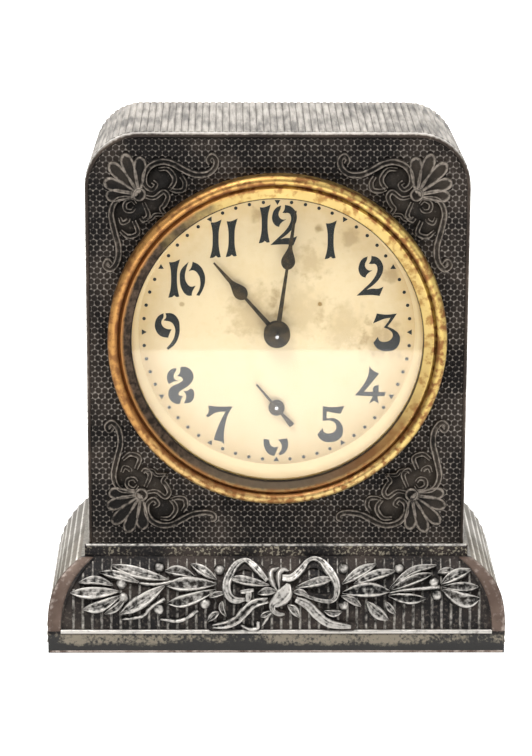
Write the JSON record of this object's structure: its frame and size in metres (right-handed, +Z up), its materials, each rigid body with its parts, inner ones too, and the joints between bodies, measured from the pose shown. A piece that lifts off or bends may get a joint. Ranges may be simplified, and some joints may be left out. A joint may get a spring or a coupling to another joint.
{
  "type": "mantel clock",
  "caption": "Cast mantel clock with a flared plinth, brass bezel, cream dial, small seconds hand and a wound lever movement in an open-backed case.",
  "frame": {"origin": "on the table, under the middle of the box around the clock", "axes": "+Z up, the dial faces -Y, +X to the right as the dial is read"},
  "size_m": [0.1598, 0.081, 0.1819],
  "materials": {
    "cast_iron": "dark lacquered casting, worn to bare metal on its ridges",
    "bezel_brass": "spun brass with brown tarnish",
    "glass": "clear flat glass",
    "dial_paper": "aged cream paper on tin",
    "hand_steel": "blackened steel",
    "tin": "dull tinned sheet",
    "steel": "plain steel",
    "movement_brass": "stamped brass"
  },
  "bodies": {
    "case": {"case_body": "cast_iron", "case_base": "cast_iron", "base_screws": "steel", "bezel": "bezel_brass", "crystal": "glass", "sight_ring": "bezel_brass", "dial": "dial_paper", "movement_can": "tin", "can_screws": "steel", "front_plate": "movement_brass", "back_plate": "movement_brass", "plate_pillars": "steel", "pillar_nuts": "steel", "can_nuts": "steel", "mainspring": "steel", "minute_wheel_stud": "steel", "balance_screws": "steel", "hairspring": "steel", "hairspring_stud": "steel"},
    "hand_setting": {"centre_arbor": "steel", "cannon_pinion": "movement_brass", "minute_hand": "hand_steel", "set_knob": "movement_brass"},
    "hour_work": {"hour_wheel": "movement_brass", "hour_hand": "hand_steel"},
    "minute_work": {"minute_wheel": "movement_brass"},
    "centre_train": {"centre_wheel": "movement_brass"},
    "third_train": {"third_arbor": "steel", "third_wheel": "movement_brass"},
    "fourth_train": {"fourth_arbor": "steel", "fourth_wheel": "movement_brass", "seconds_hand": "hand_steel"},
    "escape_train": {"escape_arbor": "steel", "escape_wheel": "movement_brass"},
    "great_train": {"great_wheel": "movement_brass", "click_screw": "steel", "click_spring": "steel"},
    "click_lever": {"click": "steel"},
    "winding": {"winding_arbor": "steel", "ratchet_wheel": "steel", "winding_key": "steel"},
    "pallets": {"pallet_arbor": "steel", "pallet_lever": "movement_brass", "pallet_pins": "steel"},
    "balance": {"balance_staff": "steel", "balance_wheel": "movement_brass", "roller": "movement_brass"},
    "rating_lever": {"regulator": "movement_brass"}
  },
  "joints": [
    {"name": "seconds_turn", "type": "hinge", "parent": "case", "child": "fourth_train", "pos_m": [0, 0, 0.0832], "axis": [0, 1, 0], "continuous": true},
    {"name": "third_turn", "type": "hinge", "parent": "case", "child": "third_train", "pos_m": [-0.0097, 0, 0.09503], "axis": [0, 1, 0], "continuous": true},
    {"name": "centre_turn", "type": "hinge", "parent": "case", "child": "centre_train", "pos_m": [0, 0, 0.1102], "axis": [0, 1, 0], "continuous": true},
    {"name": "great_turn", "type": "hinge", "parent": "case", "child": "great_train", "pos_m": [-0.0123, 0, 0.1315], "axis": [0, 1, 0], "continuous": true},
    {"name": "escape_turn", "type": "hinge", "parent": "case", "child": "escape_train", "pos_m": [0.01353, 0, 0.07827], "axis": [0, 1, 0], "continuous": true},
    {"name": "hand_set", "type": "hinge", "parent": "case", "child": "hand_setting", "pos_m": [0, 0, 0.1102], "axis": [0, 1, 0], "continuous": true},
    {"name": "hour_turn", "type": "hinge", "parent": "case", "child": "hour_work", "pos_m": [0, 0, 0.1102], "axis": [0, 1, 0], "continuous": true},
    {"name": "minute_wheel_turn", "type": "hinge", "parent": "case", "child": "minute_work", "pos_m": [0.01039, 0, 0.1162], "axis": [0, 1, 0], "continuous": true},
    {"name": "wind", "type": "hinge", "parent": "great_train", "child": "winding", "pos_m": [-0.0123, 0, 0.1315], "axis": [0, 1, 0], "range_deg": [0, 1800], "deforming": ["mainspring"]},
    {"name": "click_lift", "type": "hinge", "parent": "great_train", "child": "click_lever", "pos_m": [-0.01709, 0, 0.11835], "axis": [0, -1, 0], "range_deg": [0, 12], "stiffness_Nm_per_rad": 0.002, "springref_deg": -11.46, "deforming": ["click_spring"]},
    {"name": "pallet_rock", "type": "hinge", "parent": "case", "child": "pallets", "pos_m": [0.01959, 0, 0.08746], "axis": [0, 1, 0], "range_deg": [-4.5, 4.5]},
    {"name": "balance_swing", "type": "hinge", "parent": "case", "child": "balance", "pos_m": [0.028, 0, 0.1002], "axis": [0, 1, 0], "range_deg": [-140, 140], "stiffness_Nm_per_rad": 0.00005, "deforming": ["hairspring"]},
    {"name": "rate", "type": "hinge", "parent": "case", "child": "rating_lever", "pos_m": [0.028, 0, 0.1002], "axis": [0, 1, 0], "range_deg": [-20, 20]}
  ],
  "couplings": [
    {"joint": "third_turn", "follows": "seconds_turn", "ratio": -0.13333},
    {"joint": "centre_turn", "follows": "seconds_turn", "ratio": 0.016667},
    {"joint": "great_turn", "follows": "seconds_turn", "ratio": -0.0023148},
    {"joint": "escape_turn", "follows": "seconds_turn", "ratio": -8},
    {"joint": "hour_turn", "follows": "hand_set", "ratio": 0.083333},
    {"joint": "minute_wheel_turn", "follows": "hand_set", "ratio": -0.33333}
  ]
}
